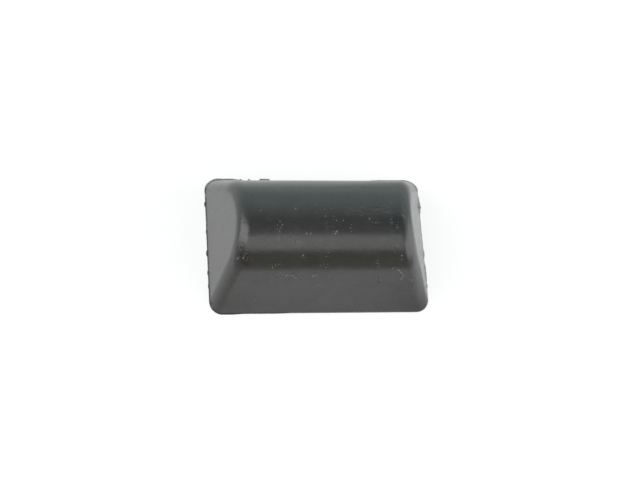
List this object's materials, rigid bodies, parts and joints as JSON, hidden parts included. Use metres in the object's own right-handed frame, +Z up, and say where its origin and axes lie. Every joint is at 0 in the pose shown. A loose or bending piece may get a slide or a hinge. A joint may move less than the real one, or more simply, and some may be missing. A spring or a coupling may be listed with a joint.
{
  "type": "rubber buffer",
  "caption": "Solid moulded rubber block with a flat rectangular base, four leaning walls and a full-round crown along the top, used as a stop or bumper.",
  "frame": {"origin": "middle of the flat base face", "axes": "+X along the block, +Y across it, +Z up from the base face to the crown"},
  "size_m": [0.045, 0.03, 0.016],
  "materials": {
    "rubber": "satin"
  },
  "bodies": {
    "root": {"buffer": "rubber"}
  },
  "joints": []
}
